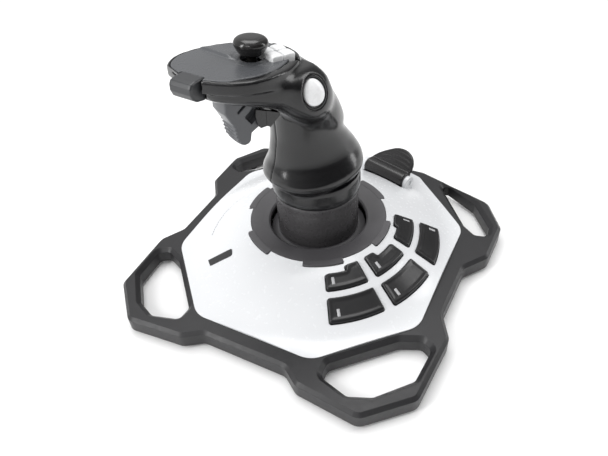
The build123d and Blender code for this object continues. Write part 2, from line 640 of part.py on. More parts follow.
# ---------------------------------------------------------------- head plate, thumb buttons
THUMB_X, THUMB_Y = -3.0, -11.8           # middle of the four buttons
THUMB_PITCH_X, THUMB_PITCH_Y = 7.2, 6.8
THUMB_BUTTONS = {
    "thumb_button_%s_%s" % (row, column): (THUMB_X + right * THUMB_PITCH_X / 2,
                                           THUMB_Y + ahead * THUMB_PITCH_Y / 2)
    for row, ahead in (("front", 1), ("rear", -1))
    for column, right in (("right", 1), ("left", -1))}


def save_on_plate(name, shape):
    """Save a shape that is designed on the sloping head plate, hat switch at its origin."""
    save_control(name, plate_plane * shape)


plate = upright(make_face(Wire([
    Spline(*[(x, y, 0) for x, y in PLATE]),
    *lines((-14.4, 27.0, 0), (-12.8, 26.6, 0), (5.4, 26.6, 0), (5.4, 37.4, 0))])), -PLATE_T, 0)
plate -= Cylinder(5.4, 20)
# each opening is a hair over the pitch, so that the four join into one
for x, y in THUMB_BUTTONS.values():
    plate -= Pos(x, y, 0) * Box(THUMB_PITCH_X + 0.01, THUMB_PITCH_Y + 0.01, 20)
save_on_plate("head_plate", plate)

thumb_board = Pos(THUMB_X, -12.6, -8.8) * Box(15.0, 11.4, BOARD_T)
for name, (x, y) in THUMB_BUTTONS.items():
    cap = fillet(Box(6.5, 6.1, 4.9).edges().group_by(Axis.Z)[-1], 0.9)
    save_on_plate(name, Pos(x, y, 0.15) * cap + z_rod(-4.4, -2.0, x, y, 1.3))
    thumb_board += Pos(x, y, -7.15) * Box(3.0, 3.0, 1.7)
save_on_plate("thumb_switch_board", thumb_board)

# ---------------------------------------------------------------- hat switch
HAT_Z = -5.4            # hat pivot under the plate top
RING_PIN_R = 0.7        # pins of the gimbal ring, along x
HAT_PIN_R = 0.5         # pin of the hat cap, along y
hat_body = Pos(0, 0, HAT_Z - 0.9) * Box(13, 13, 6.6) - z_rod(HAT_Z - 2.6, 4, 0, 0, 5.0)
hat_body -= Pos(0, -6.1, -3.0) * Box(14, 2.4, 1.8)
hat_body -= x_rod(-7, 7, 0, HAT_Z, RING_PIN_R + RUN)
save_on_plate("hat_switch_body", hat_body)

hat_ring = Pos(0, 0, HAT_Z) * (Cylinder(4.4, 2.4) - Cylinder(3.3, 4))
for side in (1, -1):
    hat_ring += x_rod(side * 4.0, side * 6.2, 0, HAT_Z, RING_PIN_R)
hat_ring -= y_rod(-5, 5, 0, HAT_Z, HAT_PIN_R + RUN)
save_on_plate("hat_gimbal_ring", hat_ring)

hat = lathe([
    (0, HAT_Z - 1.1), (2.1, HAT_Z - 1.1), (2.1, -1.5), (2.9, 1.6), (3.9, 3.0), (5.4, 4.2),
    (7.4, 5.6), (7.8, 7.2), (7.1, 8.9), (4.8, 10.0), (0, 10.3)])
save_on_plate("hat_cap", hat + y_rod(-4.1, 4.1, 0, HAT_Z, HAT_PIN_R))

# ---------------------------------------------------------------- front cap, side button
# front cap that wraps over the beak (y, z)
FRONT_CAP = [
    (60.0, 136.6), (66.5, 138.6), (70.2, 141.4), (71.6, 145.6), (71.4, 149.6),
    (70.2, 150.9), (60.0, 149.9)]
front = Pos(-12.4, 0, 0) * extrude(yz_face(FRONT_CAP), 17.4, dir=(1, 0, 0))
save_control("front_cap", fillet(front.edges().filter_by(Axis.X), 0.9))

bezel = upright(side_oval(7.4), -3.0, 2.2) - upright(side_oval(5.9), -4, 8)
save_control("side_button_bezel", side_plane * bezel)
side_button = upright(side_oval(5.7), -3.2, 3.4)
side_button = fillet(side_button.edges().group_by(Axis.Z)[-1], 1.6)
save_control("side_button", side_plane * side_button)
save_control("side_button_switch", side_plane * (Pos(0, 0, -7.4) * Box(6, 6, 4.6)))

# ---------------------------------------------------------------- trigger
# trigger outline (y, z): curved front edge, then the straight lower, rear and upper edges
TRIGGER_FRONT = [(54.6, 126.8), (51.6, 119.8), (50.8, 113.6), (49.6, 109.6), (45.8, 106.8)]
TRIGGER_REST = [
    (45.8, 106.8), (42.2, 108.2), (41.2, 112.4), (35.4, 114.8), (34.8, 120.0), (36.2, 124.6),
    (37.6, 130.6), (41.5, 137.2), (41.8, 140.4), (47.0, 140.4), (54.0, 133.4), (54.6, 126.8)]
trigger_face = make_face(Wire([
    Spline(*yz(TRIGGER_FRONT), tangents=((0, -0.55, -1), (0, -1, -0.2))),
    *lines(*yz(TRIGGER_REST))]))
trigger = extrude(trigger_face, 6.6, both=True, dir=(1, 0, 0))
trigger -= x_rod(-8, 8, TRIGGER_Y, TRIGGER_Z, TRIGGER_PIN_R + RUN)
trigger -= block(-3.4, 3.4, 39.5, 51.0, 126.0, 131.0)
save_control("trigger", trigger)
# housing behind the trigger, open to the front so that the trigger slides in
housing = extrude(yz_face(HOUSING), HOUSING_HALF, both=True, dir=(1, 0, 0))
save_control("trigger_housing", housing - block(-7.0, 7.0, 29.4, 40.0, 110.0, 130.0))
save_control("trigger_pin", x_rod(-TRIGGER_PIN_HALF, TRIGGER_PIN_HALF,
                                  TRIGGER_Y, TRIGGER_Z, TRIGGER_PIN_R))
save_control("trigger_switch", block(-4, 4, 25.0, 32.0, 128.6, 133.4)
             + block(-1, 1, 32.0, 33.6, 130.0, 131.8))
save_control("trigger_spring", coil((8.2, TRIGGER_Y, TRIGGER_Z), (1, 0, 0),
                                    radius=2.5, wire=0.4, pitch=1.0, turns=2.0))

# board inside the grip, with one component on its front face
save_control("handle_circuit_board", block(-9.5, 9.5, -2.0, -0.4, 96.0, 118.0)
             + block(-5, 5, -0.4, 1.2, 104.0, 112.0))
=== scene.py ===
"""A joystick on a round base, with a throttle paddle and six base buttons.

Lengths are millimetres (MM turns them into metres). The stick axis is the base's Z.
The handle is modelled with its head towards +y, then turned by YAW about Z.
Most pieces are signed distance fields, negative inside, meshed on a regular grid.
"""
import json
import math
from functools import reduce

import bmesh
import bpy
import numpy as np
from mathutils import Matrix, Vector


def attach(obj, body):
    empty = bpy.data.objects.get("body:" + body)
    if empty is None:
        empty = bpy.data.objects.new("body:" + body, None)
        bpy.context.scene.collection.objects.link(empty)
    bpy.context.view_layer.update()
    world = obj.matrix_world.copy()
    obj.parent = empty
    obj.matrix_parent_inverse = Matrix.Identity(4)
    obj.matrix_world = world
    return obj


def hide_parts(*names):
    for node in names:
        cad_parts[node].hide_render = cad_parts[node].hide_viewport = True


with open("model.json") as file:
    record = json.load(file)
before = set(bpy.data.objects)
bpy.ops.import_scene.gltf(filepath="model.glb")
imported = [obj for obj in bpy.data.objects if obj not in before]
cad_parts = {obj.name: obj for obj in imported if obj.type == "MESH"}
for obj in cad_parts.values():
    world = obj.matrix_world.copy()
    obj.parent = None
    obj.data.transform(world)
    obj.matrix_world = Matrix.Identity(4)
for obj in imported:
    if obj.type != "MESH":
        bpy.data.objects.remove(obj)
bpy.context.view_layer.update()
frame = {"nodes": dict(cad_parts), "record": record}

MM = 0.001
scene = bpy.context.scene
COARSEN = 1.0  # factor on every grid step

# ---------------------------------------------------------------- local frames
YAW = math.radians(-27.0)
YAW_MATRIX = np.array([
    [math.cos(YAW), -math.sin(YAW), 0],
    [math.sin(YAW), math.cos(YAW), 0],
    [0, 0, 1]])

# Head plate: x across, y ahead up the slope, z off the plate.
SLOPE = math.radians(5.7)
PLATE_ORIGIN = np.array([0, 33.0, 146.6])
PLATE_AXES = np.array([
    [1.0, 0, 0],
    [0, math.cos(SLOPE), math.sin(SLOPE)],
    [0, -math.sin(SLOPE), math.cos(SLOPE)]])

# Side button: x ahead, y down the handle's side, z out of it.
SIDE_ORIGIN = np.array([-22.6, 15.0, 131.5])
SIDE_OUT = np.array([-0.93, 0.0, 0.37])
SIDE_OUT = SIDE_OUT / np.linalg.norm(SIDE_OUT)
SIDE_AHEAD = np.array([0.0, 1.0, 0.0])
SIDE_DOWN = np.cross(SIDE_OUT, SIDE_AHEAD)
SIDE_AXES = (SIDE_AHEAD, SIDE_DOWN, SIDE_OUT)

# Throttle: x along the drum, y out from the base, z up.
THROTTLE_AZIMUTH = math.radians(252.0)
THROTTLE_ORIGIN = np.array([-18.0, -73.2, 22.0])
THROTTLE_OUT = np.array([math.cos(THROTTLE_AZIMUTH), math.sin(THROTTLE_AZIMUTH), 0])
THROTTLE_AXES = (
    np.array([THROTTLE_OUT[1], -THROTTLE_OUT[0], 0]), THROTTLE_OUT, np.array([0, 0, 1.0]))


def to_parent(points, origin, axes):
    return origin + points[:, :1] * axes[0] + points[:, 1:2] * axes[1] + points[:, 2:] * axes[2]


def from_handle(points):
    return points @ YAW_MATRIX.T


def from_plate(points):
    return from_handle(to_parent(points, PLATE_ORIGIN, PLATE_AXES))


def from_side(points):
    return from_handle(to_parent(points, SIDE_ORIGIN, SIDE_AXES))


def from_throttle(points):
    return to_parent(points, THROTTLE_ORIGIN, THROTTLE_AXES)


def plate_coords(x, y, z):
    """Handle coordinates read in the plate's frame."""
    y, z = y - PLATE_ORIGIN[1], z - PLATE_ORIGIN[2]
    cos, sin = math.cos(SLOPE), math.sin(SLOPE)
    return x, y * cos + z * sin, -y * sin + z * cos


def side_coords(x, y, z):
    """Handle coordinates read in the side button's frame."""
    x, y, z = x - SIDE_ORIGIN[0], y - SIDE_ORIGIN[1], z - SIDE_ORIGIN[2]
    return y, x * SIDE_DOWN[0] + z * SIDE_DOWN[2], x * SIDE_OUT[0] + z * SIDE_OUT[2]


# ---------------------------------------------------------------- distance fields
def unit(value):
    return np.clip(value, 0, 1)


def intersect(*fields):
    return reduce(np.maximum, fields)


def cut(shape, hole):
    return np.maximum(shape, -hole)


def blend_union(first, second, width):
    share = unit(0.5 + 0.5 * (second - first) / width)
    return second * (1 - share) + first * share - width * share * (1 - share)


def blend_intersect(first, second, width):
    return -blend_union(-first, -second, width)


def rounded(*slabs, radius):
    """Intersection of slabs with its edges rounded."""
    slabs = [slab + radius for slab in slabs]
    outside = sum(np.maximum(slab, 0) ** 2 for slab in slabs) ** 0.5
    return outside + np.minimum(intersect(*slabs), 0) - radius


def length(x, y):
    return np.sqrt(x * x + y * y)


def super_ellipse(x, y, half_x, half_y, power):
    reach = (np.abs(x / half_x) ** power + np.abs(y / half_y) ** power) ** (1.0 / power)
    return (reach - 1.0) * np.minimum(half_x, half_y)


def wave(place, pitch):
    """Cosine ripple between 0 and 1."""
    return 0.5 + 0.5 * np.cos(2 * math.pi * place / pitch)


def polygon(x, y, points):
    """Signed distance to a closed polygon."""
    x, y = np.broadcast_arrays(x, y)
    points = np.asarray(points, float)
    squared = np.full(x.shape, 1e9)
    inside = np.zeros(x.shape, bool)
    for (ax, ay), (bx, by) in zip(points, np.roll(points, -1, axis=0)):
        edge_x, edge_y = bx - ax, by - ay
        to_x, to_y = x - ax, y - ay
        along = unit((to_x * edge_x + to_y * edge_y)
                     / (edge_x * edge_x + edge_y * edge_y + 1e-12))
        squared = np.minimum(squared, (to_x - edge_x * along) ** 2 + (to_y - edge_y * along) ** 2)
        spans = ((ay <= y) & (y < by)) | ((by <= y) & (y < ay))
        rise = edge_y if abs(edge_y) > 1e-12 else 1e-12
        inside ^= spans & (x < ax + (y - ay) * edge_x / rise)
    return np.where(inside, -1, 1) * np.sqrt(squared)


class OutlineTable:
    """Distance to an outline, tabulated once on a flat grid and read bilinearly."""

    def __init__(self, outline, x_range, y_range, step):
        self.step = step
        self.xs = np.arange(*x_range, step)
        self.ys = np.arange(*y_range, step)
        self.table = polygon(self.xs[:, None], self.ys[None, :], outline)

    def at(self, x, y):
        x, y = np.broadcast_arrays(x, y)
        x = np.clip((x - self.xs[0]) / self.step, 0, len(self.xs) - 2.001)
        y = np.clip((y - self.ys[0]) / self.step, 0, len(self.ys) - 2.001)
        i, j = x.astype(int), y.astype(int)
        x, y = x - i, y - j
        table = self.table
        return (table[i, j] * (1 - x) * (1 - y) + table[i + 1, j] * x * (1 - y)
                + table[i, j + 1] * (1 - x) * y + table[i + 1, j + 1] * x * y)


def closed_curve(points, steps):
    """Catmull-Rom curve through a closed loop of points."""
    points = np.asarray(points, float)
    count = len(points)
    curve = []
    for i in range(count):
        p0, p1, p2, p3 = (points[(i + k) % count] for k in (-1, 0, 1, 2))
        for j in range(steps):
            t = j / steps
            curve.append(0.5 * ((2 * p1) + (-p0 + p2) * t + (2 * p0 - 5 * p1 + 4 * p2 - p3) * t * t
                                + (-p0 + 3 * p1 - 3 * p2 + p3) * t ** 3))
    return np.array(curve)


def read_stations(table, place):
    """Smooth (Hermite) value of each column at a place along the first column."""
    table = np.asarray(table, float)
    stations, values = table[:, 0], table[:, 1:]
    slopes = np.diff(values, axis=0) / np.diff(stations)[:, None]
    before, after = slopes[:-1], slopes[1:]
    harmonic = 2 * before * after / (before + after + 1e-12)
    tangents = np.zeros_like(values)
    tangents[1:-1] = (np.where(before * after > 0, harmonic, 0) * 0.5
                      + 0.25 * (before + after))
    tangents[0], tangents[-1] = slopes[0], slopes[-1]
    place = np.clip(place, stations[0], stations[-1])
    i = np.clip(np.searchsorted(stations, place) - 1, 0, len(stations) - 2)
    gap = stations[i + 1] - stations[i]
    s = (place - stations[i]) / gap
    return [(2 * s ** 3 - 3 * s ** 2 + 1) * values[i, c]
            + (s ** 3 - 2 * s ** 2 + s) * (tangents[i, c] * gap)
            + (-2 * s ** 3 + 3 * s ** 2) * values[i + 1, c]
            + (s ** 3 - s ** 2) * (tangents[i + 1, c] * gap)
            for c in range(values.shape[1])]


# ---------------------------------------------------------------- meshes
def zero_surface(samples, origin, step):
    """Vertices and quads of the zero surface (surface nets)."""
    inside = samples < 0
    nx, ny, nz = samples.shape
    corners = [(i, j, k) for i in (0, 1) for j in (0, 1) for k in (0, 1)]
    count = sum(inside[i:nx - 1 + i, j:ny - 1 + j, k:nz - 1 + k].astype(np.int8)
                for i, j, k in corners)
    active = (count > 0) & (count < 8)
    cells = np.argwhere(active)
    I, J, K = cells.T
    values = {(i, j, k): samples[I + i, J + j, K + k] for i, j, k in corners}

    # Each vertex is the mean of the crossings on its cell's edges.
    total = np.zeros((len(cells), 3))
    crossings = np.zeros(len(cells))
    for start in corners:
        for axis in range(3):
            if start[axis]:
                continue
            end = list(start)
            end[axis] = 1
            here, there = values[start], values[tuple(end)]
            crosses = (here < 0) != (there < 0)
            t = np.where(crosses, here / np.where(crosses, here - there, 1.0), 0.0)
            for q in range(3):
                total[:, q] += (start[q] + (t if q == axis else 0.0)) * crosses
            crossings += crosses
    vertices = (cells + total / crossings[:, None]) * step + origin

    # Each crossed grid edge gives a quad between its four cells.
    number = -np.ones(active.shape, np.int64)
    number[I, J, K] = np.arange(len(cells))
    quads = []
    for axis in range(3):
        second, third = (axis + 1) % 3, (axis + 2) % 3
        low, high = [slice(1, -1)] * 3, [slice(1, -1)] * 3
        low[axis], high[axis] = slice(0, -1), slice(1, None)
        below, above = inside[tuple(low)], inside[tuple(high)]
        for flip in (False, True):
            edges = np.argwhere((~below & above) if flip else (below & ~above))
            ring = []
            for i, j in ((0, 0), (1, 0), (1, 1), (0, 1)):
                cell = edges.copy()
                cell[:, second] += i
                cell[:, third] += j
                ring.append(number[cell[:, 0], cell[:, 1], cell[:, 2]])
            quad = np.stack(ring, 1)
            quads.append(quad[:, ::-1] if flip else quad)
    return vertices, np.concatenate(quads)


def new_object(name, vertices, faces, material, body, slot, place=None, smooth=0):
    """Mesh object from an array of quads or a list of faces."""
    vertices = np.asarray(vertices, float)
    if place is not None:
        vertices = place(vertices)
    vertices = vertices * MM
    mesh = bpy.data.meshes.new(name)
    if isinstance(faces, np.ndarray):
        count, sides = faces.shape
        mesh.vertices.add(len(vertices))
        mesh.vertices.foreach_set("co", vertices.astype(np.float32).ravel())
        mesh.loops.add(count * sides)
        mesh.loops.foreach_set("vertex_index", faces.astype(np.int32).ravel())
        mesh.polygons.add(count)
        mesh.polygons.foreach_set("loop_start", (np.arange(count) * sides).astype(np.int32))
        mesh.update(calc_edges=True)
    else:
        mesh.from_pydata([tuple(v) for v in vertices], [], faces)
    mesh.validate()
    mesh.polygons.foreach_set("use_smooth", np.ones(len(mesh.polygons), bool))
    ob = bpy.data.objects.new(name, mesh)
    scene.collection.objects.link(ob)
    mesh.materials.append(MATERIALS[material])
    if smooth:
        even = ob.modifiers.new("even", "SMOOTH")
        even.factor = 0.5
        even.iterations = smooth
    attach(ob, body)
    return ob


def sample(field, low, high, step):
    """Grid origin, sparse grid axes and field values with a margin round the box."""
    axes = [np.arange(a - 1.5 * step, b + 2.5 * step, step) for a, b in zip(low, high)]
    x, y, z = np.meshgrid(*axes, indexing="ij", sparse=True)
    samples = field(x, y, z) + 0 * (x + y + z)
    return np.array([axis[0] for axis in axes]), (x, y, z), samples


def mesh_samples(name, samples, origin, step, *args, **options):
    # The outermost layers count as outside, so that the surface closes.
    samples[[0, -1]] = 9
    samples[:, [0, -1]] = 9
    samples[:, :, [0, -1]] = 9
    return new_object(name, *zero_surface(samples, origin, step), *args, **options)


def field_object(name, field, low, high, step, *args, **options):
    step = step * COARSEN
    origin, _, samples = sample(field, low, high, step)
    return mesh_samples(name, samples, origin, step, *args, **options)


def round_corners(points, radius=0.9, steps=5):
    """Closed (radius, z) outline with quadratic corners."""
    points = [np.array(p, float) for p in points]
    outline = []
    for i, corner in enumerate(points):
        back, ahead = points[i - 1] - corner, points[(i + 1) % len(points)] - corner
        back_length, ahead_length = np.linalg.norm(back), np.linalg.norm(ahead)
        trim = min(radius, 0.45 * back_length, 0.45 * ahead_length)
        start = corner + back / back_length * trim
        end = corner + ahead / ahead_length * trim
        for j in range(steps + 1):
            t = j / steps
            outline.append(tuple((1 - t) ** 2 * start + 2 * t * (1 - t) * corner + t * t * end))
    outline.append(outline[0])
    return outline


def lathe(name, points, segments, *args, **options):
    """Solid of revolution about Z from a (radius, z) polygon."""
    outline = round_corners(points)
    vertices, faces = [], []
    for radius, z in outline:
        for i in range(segments):
            angle = 2 * math.pi * i / segments
            vertices.append((radius * math.cos(angle), radius * math.sin(angle), z))
    for j in range(len(outline) - 1):
        low, high = j * segments, (j + 1) * segments
        for i in range(segments):
            k = (i + 1) % segments
            faces.append((low + i, low + k, high + k, high + i))
    ob = new_object(name, vertices, faces, *args, **options)
    bm = bmesh.new()
    bm.from_mesh(ob.data)
    bmesh.ops.remove_doubles(bm, verts=bm.verts, dist=1e-6)
    bmesh.ops.dissolve_degenerate(bm, dist=1e-7, edges=bm.edges)
    bmesh.ops.recalc_face_normals(bm, faces=bm.faces)
    bm.to_mesh(ob.data)
    bm.free()
    return ob


# ---------------------------------------------------------------- materials
def add_node(tree, kind, values=None):
    node = tree.nodes.new(kind)
    for name, value in (values or {}).items():
        node.inputs[name].default_value = value
    return node


def add_ramp(tree, factor, low, high, low_color, high_color):
    node = tree.nodes.new("ShaderNodeValToRGB")
    start, end = node.color_ramp.elements
    start.position, end.position = low, high
    start.color, end.color = (*low_color, 1), (*high_color, 1)
    tree.links.new(factor, node.inputs["Fac"])
    return node


def make_material(name, color, rough, rough_var=0.06, grain=0.0, grain_scale=900.0, wear=0.25,
                  mottle=0.08, bevel=0.0, metallic=0.0, coat=0.0, spec=0.5, brushed=False):
    """Moulded surface: mottled colour, paler worn edges and an optional fine grain.

    rough_var spreads the roughness, wear and mottle are strengths, bevel is in mm.
    """
    mat = bpy.data.materials.new(name)
    mat.use_nodes = True
    tree = mat.node_tree
    link = tree.links.new
    tree.nodes.clear()
    output = add_node(tree, "ShaderNodeOutputMaterial")
    shader = add_node(tree, "ShaderNodeBsdfPrincipled", {
        "Metallic": metallic, "Specular IOR Level": spec,
        "Coat Weight": coat, "Coat Roughness": 0.12})
    link(shader.outputs[0], output.inputs[0])
    position = add_node(tree, "ShaderNodeTexCoord").outputs["Object"]
    broad = add_node(tree, "ShaderNodeTexNoise", {"Scale": 40.0, "Detail": 4})
    link(position, broad.inputs["Vector"])
    fine = add_node(tree, "ShaderNodeTexNoise", {"Scale": 420, "Detail": 3})
    if brushed:
        stretch = add_node(tree, "ShaderNodeMapping", {"Scale": (1, 1, 26)})
        link(position, stretch.inputs["Vector"])
        link(stretch.outputs[0], fine.inputs["Vector"])
    else:
        link(position, fine.inputs["Vector"])

    # Slow mottling, then a paler rub along convex edges.
    base = Vector(color)
    mottled = add_ramp(tree, broad.outputs["Fac"], 0.3, 0.7, low_color=base * (1 - mottle),
                       high_color=[min(1, c) for c in base * (1 + mottle)])
    geometry = add_node(tree, "ShaderNodeNewGeometry")
    edges = add_ramp(tree, geometry.outputs["Pointiness"], 0.52, 0.62,
                     low_color=(0, 0, 0), high_color=(wear, wear, wear))
    worn = add_node(tree, "ShaderNodeMath")
    worn.operation = "MULTIPLY"
    link(edges.outputs["Color"], worn.inputs[0])
    link(fine.outputs["Fac"], worn.inputs[1])
    mix = add_node(tree, "ShaderNodeMix")
    mix.data_type = "RGBA"
    link(worn.outputs[0], mix.inputs["Factor"])
    link(mottled.outputs["Color"], mix.inputs["A"])
    mix.inputs["B"].default_value = (*(min(1.0, c * 2.2 + 0.05) for c in color), 1)
    link(mix.outputs["Result"], shader.inputs["Base Color"])

    roughness = add_node(tree, "ShaderNodeMapRange", {
        "From Min": 0.3, "From Max": 0.7,
        "To Min": max(0.02, rough - rough_var), "To Max": rough + rough_var})
    link(fine.outputs["Fac"], roughness.inputs["Value"])
    link(roughness.outputs[0], shader.inputs["Roughness"])

    normal = None
    if bevel:
        soft = add_node(tree, "ShaderNodeBevel", {"Radius": bevel * MM})
        soft.samples = 4
        normal = soft.outputs[0]
    if grain:
        pores = add_node(tree, "ShaderNodeTexVoronoi", {"Scale": grain_scale})
        link(position, pores.inputs["Vector"])
        bump = add_node(tree, "ShaderNodeBump", {"Strength": grain, "Distance": 0.00012})
        link(pores.outputs["Distance"], bump.inputs["Height"])
        if normal is not None:
            link(normal, bump.inputs["Normal"])
        swell = add_node(tree, "ShaderNodeBump", {"Strength": 0.06, "Distance": 0.0003})
        link(broad.outputs["Fac"], swell.inputs["Height"])
        link(bump.outputs[0], swell.inputs["Normal"])
        normal = swell.outputs[0]
    if normal is not None:
        link(normal, shader.inputs["Normal"])
    return mat


MATERIAL_SPECS = {
    "charcoal_moulding": dict(
        color=(0.0150, 0.0147, 0.0160), rough=0.42, spec=0.42, grain=0.12, grain_scale=1500,
        wear=0.30, bevel=0.5),
    "collar_moulding": dict(
        color=(0.058, 0.056, 0.060), rough=0.40, grain=0.14, grain_scale=1500, wear=0.26,
        bevel=0.35),
    "silver_white_deck": dict(
        color=(0.680, 0.690, 0.705), rough=0.26, rough_var=0.02, grain=0.012, grain_scale=2200,
        wear=0.0, mottle=0.012, bevel=0.3, coat=0.25),
    "grip_satin": dict(
        color=(0.0050, 0.0049, 0.0056), rough=0.25, spec=0.42, rough_var=0.02, grain=0.02,
        grain_scale=1700, wear=0.05, coat=0.25),
    "boot_satin": dict(
        color=(0.046, 0.0440, 0.046), rough=0.28, rough_var=0.015, grain=0.015,
        grain_scale=1500, wear=0.05),
    "slate_plate": dict(
        color=(0.074, 0.077, 0.083), rough=0.28, rough_var=0.02, grain=0.03, grain_scale=1800,
        wear=0.05, mottle=0.05),
    "beak_cap": dict(
        color=(0.030, 0.0315, 0.034), rough=0.33, rough_var=0.02, grain=0.04,
        grain_scale=1700, wear=0.1),
    "trigger_moulding": dict(
        color=(0.094, 0.097, 0.104), rough=0.32, rough_var=0.02, grain=0.04,
        grain_scale=1700, wear=0.15),
    "black_gloss": dict(
        color=(0.012, 0.012, 0.013), rough=0.14, rough_var=0.04, wear=0.15, bevel=0.25,
        coat=0.5),
    "hat_gloss": dict(
        color=(0.010, 0.0094, 0.0092), rough=0.18, rough_var=0.02, grain=0.02,
        grain_scale=2000, wear=0.15),
    "white_key": dict(
        color=(0.88, 0.885, 0.89), rough=0.28, grain=0.02, grain_scale=2000, wear=0.0,
        mottle=0.015, bevel=0.3, coat=0.3),
    "key_charcoal": dict(
        color=(0.0070, 0.0068, 0.0076), rough=0.31, spec=0.40, rough_var=0.03, grain=0.06,
        grain_scale=1400, wear=0.45, coat=0.1),
    "printed_mark": dict(color=(0.42, 0.42, 0.43), rough=0.45, grain=0.1, wear=0.0),
    "pale_print": dict(color=(0.42, 0.43, 0.45), rough=0.5, grain=0.1, wear=0.0),
    "foot_rubber": dict(color=(0.014, 0.014, 0.015), rough=0.75, grain=0.6, wear=0.1),
    "bright_steel": dict(
        color=(0.56, 0.57, 0.58), rough=0.28, metallic=1.0, brushed=True, wear=0.0,
        grain=0.08, grain_scale=1200),
    "black_nylon": dict(
        color=(0.022, 0.022, 0.024), rough=0.50, grain=0.3, wear=0.15, bevel=0.2),
    "switch_housing": dict(
        color=(0.020, 0.020, 0.022), rough=0.45, grain=0.3, wear=0.15, bevel=0.15),
    "circuit_green": dict(
        color=(0.020, 0.12, 0.05), rough=0.30, grain=0.2, grain_scale=600, wear=0.1,
        coat=0.4, mottle=0.2),
    "throttle_satin": dict(
        color=(0.011, 0.0105, 0.011), rough=0.25, rough_var=0.03, grain=0.04,
        grain_scale=1700, wear=0.15),
}
MATERIALS = {name: make_material(name, **spec) for name, spec in MATERIAL_SPECS.items()}

SLOT_MATERIALS = {
    "charcoal_plastic": "charcoal_moulding", "pale_plastic": "silver_white_deck",
    "rubber": "foot_rubber", "steel": "bright_steel", "black_gloss": "black_gloss",
    "grip_plastic": "grip_satin", "plate_plastic": "slate_plate", "white_button": "white_key",
    "button_plastic": "key_charcoal", "nylon": "black_nylon",
    "switch_black": "switch_housing", "board_green": "circuit_green"}
# CAD pieces that differ from their slot's material
NODE_MATERIALS = {"collar_ring": "collar_moulding", "trigger_housing": "grip_satin",
                  "dust_skirt": "collar_moulding"}

slot_of = {part["node"]: part["material_slot"] for part in frame["record"]["subparts"]}
for name, ob in frame["nodes"].items():
    mat = MATERIALS[NODE_MATERIALS.get(name, SLOT_MATERIALS[slot_of[name]])]
    if not ob.data.materials:
        ob.data.materials.append(mat)
    for material_slot in ob.material_slots:
        material_slot.material = mat

# ---------------------------------------------------------------- handle shells
# z, centre y, half width x, half width y
COLUMN = [
    (62.0, 0.4, 24.4, 25.0), (67.4, 0.8, 24.2, 24.9), (69.8, 1.2, 24.4, 26.4),
    (71.6, 1.5, 25.2, 28.3), (74.4, 1.5, 25.3, 29.2), (78.4, 1.2, 23.4, 28.5),
    (84.0, 1.4, 20.4, 26.0), (91.0, 3.0, 18.6, 22.8), (100.0, 5.0, 17.6, 19.4),
    (113.0, 7.0, 18.2, 17.6), (127.0, 12.0, 18.0, 14.0), (131.0, 13.0, 16.0, 12.0)]
# y, bottom z, top z, half width x, centre x
HEAD = [
    (-16.0, 101.5, 104.5, 3.0, 0.0), (-13.0, 100.0, 108.0, 8.5, 0.0),
    (-6.5, 99.0, 121.0, 14.5, 0.0), (3.0, 104.0, 136.5, 19.6, -0.6),
    (13.0, 111.0, 143.2, 22.6, -1.2), (25.0, 120.0, 145.6, 23.8, -0.8),
    (42.0, 130.0, 147.4, 23.2, 0.6), (59.5, 136.4, 148.8, 16.6, 2.2),
    (66.0, 140.0, 149.0, 9.0, 3.0)]
# Plate outline (x, y) in the plate's frame
PLATE = [
    (5.4, 37.4), (13.0, 36.6), (19.6, 31.5), (23.8, 24.0), (25.6, 11.0), (23.6, -2.0),
    (16.0, -16.0), (6.5, -22.8), (-6.5, -22.6), (-14.8, -16.0), (-21.4, -5.0), (-24.0, 9.0),
    (-21.6, 19.5), (-14.6, 28.4), (-8.0, 34.0), (-1.0, 36.8)]
PLATE_TABLE = OutlineTable(closed_curve(PLATE, 8), (-40, 40), (-60, 60), 0.5)
PLATE_SEAT = 2.6       # depth of the recess that holds the panel
SHELL_WALL = 2.5
SHELL_STEP = 0.60
SHELL_HALF_GAP = 0.04  # from the x = 0 plane to each half
CAP_TURN = math.radians(24.0)  # beak cap turned towards -x
CAP_ORIGIN = (-2.95, 31.4)


def rim_width(x, y):
    """The border round the panel is wide on the -x side, thin on +x and at the beak."""
    side = unit((4.0 - x) / 16.0)
    side = side * side * (3 - 2 * side)
    behind = unit((24.0 - y) / 10.0)
    behind = behind * behind * (3 - 2 * behind)
    return 1.5 + 2.9 * side * behind


def cap_coords(x, y):
    """Across and forward distances in the beak cap's own turned frame."""
    x, y = x - CAP_ORIGIN[0], y - CAP_ORIGIN[1]
    cos, sin = math.cos(CAP_TURN), math.sin(CAP_TURN)
    return x * cos + y * sin, -x * sin + y * cos


def outer_handle(x, y, z):
    """Solid outside of the column, the head and the swelling round the side button."""
    centre, half_x, half_y = read_stations(COLUMN, z)
    column = super_ellipse(x, y - centre, half_x, half_y, 2.25)
    column = blend_intersect(column, 63.4 - z, 0.6)
    column = blend_intersect(column, z - 131.0, 4.0)
    bottom, top, half_x, centre = read_stations(HEAD, y)
    power = 2.4 + 0.7 * unit((y - 5) / 35.0)
    head = super_ellipse(x - centre, z - (bottom + top) / 2, half_x, (top - bottom) / 2, power)
    head = blend_intersect(head, -15.5 - y, 2.0)
    head = blend_intersect(head, y - 64.5, 2.0)
    ahead, down, out = side_coords(x, y, z)
    swelling = np.sqrt((ahead / 11.8) ** 2 + (down / 12.6) ** 2 + ((out + 5.0) / 6.2) ** 2)
    return blend_union(blend_union(column, head, 6.0), (swelling - 1.0) * 6.2, 5.0)


